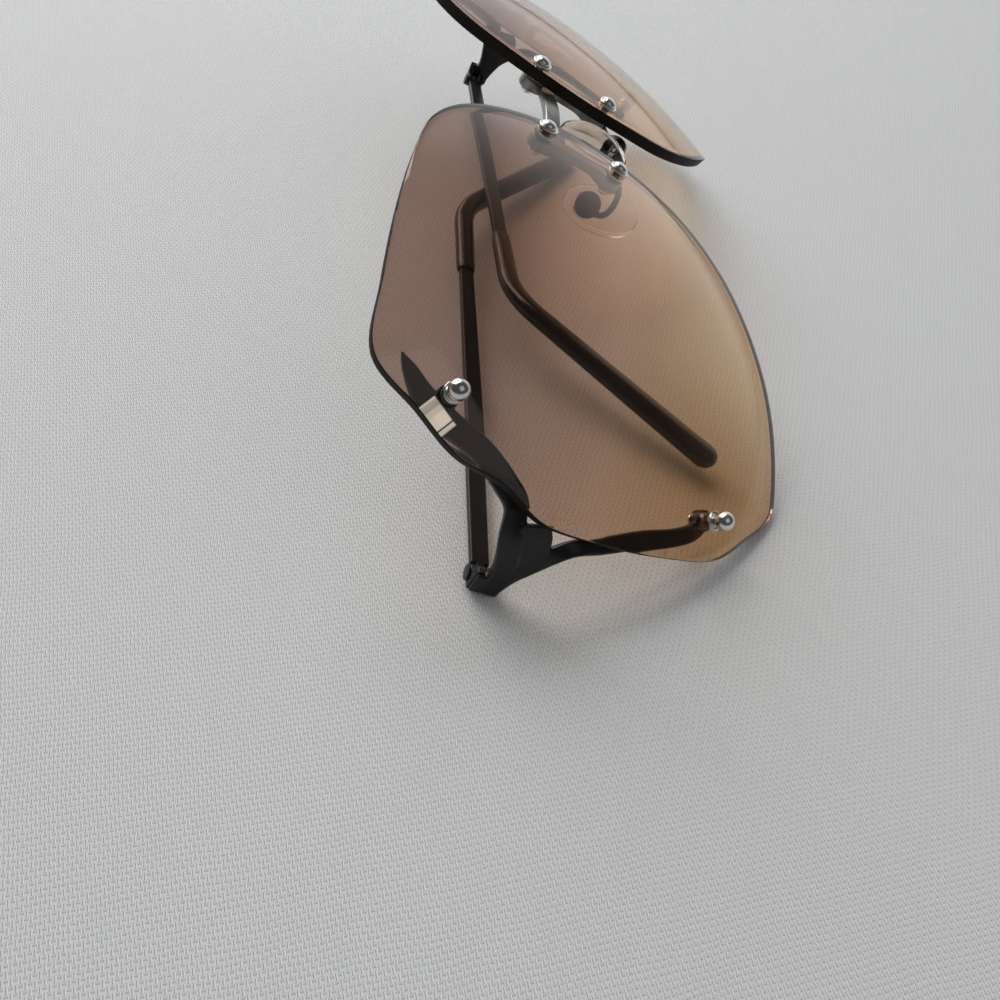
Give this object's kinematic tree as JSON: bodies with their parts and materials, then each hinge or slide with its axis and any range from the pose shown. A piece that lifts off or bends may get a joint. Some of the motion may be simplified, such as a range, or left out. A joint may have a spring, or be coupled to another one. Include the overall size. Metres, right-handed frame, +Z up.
{
  "type": "rimless folding sunglasses",
  "caption": "Oversized rimless sunglasses with gradient lenses, forked end pieces, screw-on bridge and folded temples, lying with the lenses up.",
  "frame": {"origin": "middle of the footprint, on the table that the folded pair lies on", "axes": "+X towards the wearer's left along the width of the front, +Y towards the brow, +Z up from the table; the lens fronts face up"},
  "size_m": [0.1433, 0.0652, 0.0452],
  "materials": {
    "lens": "tinted brown at the brow, fading to amber at the cheek",
    "gunmetal": "dark plated metal, satin",
    "bright_metal": "polished",
    "clear_washer": "clear plastic",
    "silicone": "clear silicone",
    "stone": "clear, bevelled",
    "sleeve": "dark brown, see-through"
  },
  "bodies": {
    "front": {"lens_right": "lens", "lens_left": "lens", "bridge_bar": "gunmetal", "nose_plate_right": "gunmetal", "nose_plate_left": "gunmetal", "nose_screws_right": "bright_metal", "nose_screws_left": "bright_metal", "nose_washers_right": "bright_metal", "nose_washers_left": "bright_metal", "nose_backers_right": "clear_washer", "nose_backers_left": "clear_washer", "nose_nuts_right": "bright_metal", "nose_nuts_left": "bright_metal", "pad_wire_right": "gunmetal", "pad_wire_left": "gunmetal", "pad_cup_right": "gunmetal", "pad_cup_left": "gunmetal", "pad_pin_right": "bright_metal", "pad_pin_left": "bright_metal", "end_piece_right": "gunmetal", "end_piece_left": "gunmetal", "stone_right": "stone", "stone_left": "stone", "temple_screws_right": "bright_metal", "temple_screws_left": "bright_metal", "temple_washers_right": "bright_metal", "temple_washers_left": "bright_metal", "temple_backers_right": "clear_washer", "temple_backers_left": "clear_washer", "temple_nuts_right": "bright_metal", "temple_nuts_left": "bright_metal", "hinge_screw_right": "gunmetal", "hinge_screw_left": "gunmetal"},
    "right_temple": {"temple_right": "gunmetal", "tip_sleeve_right": "sleeve"},
    "left_temple": {"temple_left": "gunmetal", "tip_sleeve_left": "sleeve"},
    "right_pad": {"nose_pad_right": "silicone"},
    "left_pad": {"nose_pad_left": "silicone"}
  },
  "joints": [
    {"name": "right_temple_hinge", "type": "hinge", "parent": "front", "child": "right_temple", "pos_m": [-0.06845, 0.01457, 0.00163], "axis": [-0.0428, 0.9608, 0.2738], "range_deg": [0, 94]},
    {"name": "left_temple_hinge", "type": "hinge", "parent": "front", "child": "left_temple", "pos_m": [0.0687, 0.01457, 0.00558], "axis": [0.0428, -0.9608, -0.2738], "range_deg": [0, 98.5]},
    {"name": "right_pad_rock", "type": "hinge", "parent": "front", "child": "right_pad", "pos_m": [-0.00968, -0.00007, 0.02525], "axis": [-0.4829, 0.2371, -0.8429], "range_deg": [-7, 7]},
    {"name": "left_pad_rock", "type": "hinge", "parent": "front", "child": "left_pad", "pos_m": [0.00676, -0.00618, 0.02714], "axis": [0.1865, 0.2716, -0.9442], "range_deg": [-7, 7]}
  ],
  "couplings": [
    {"joint": "left_temple_hinge", "follows": "right_temple_hinge", "ratio": 1.045}
  ]
}
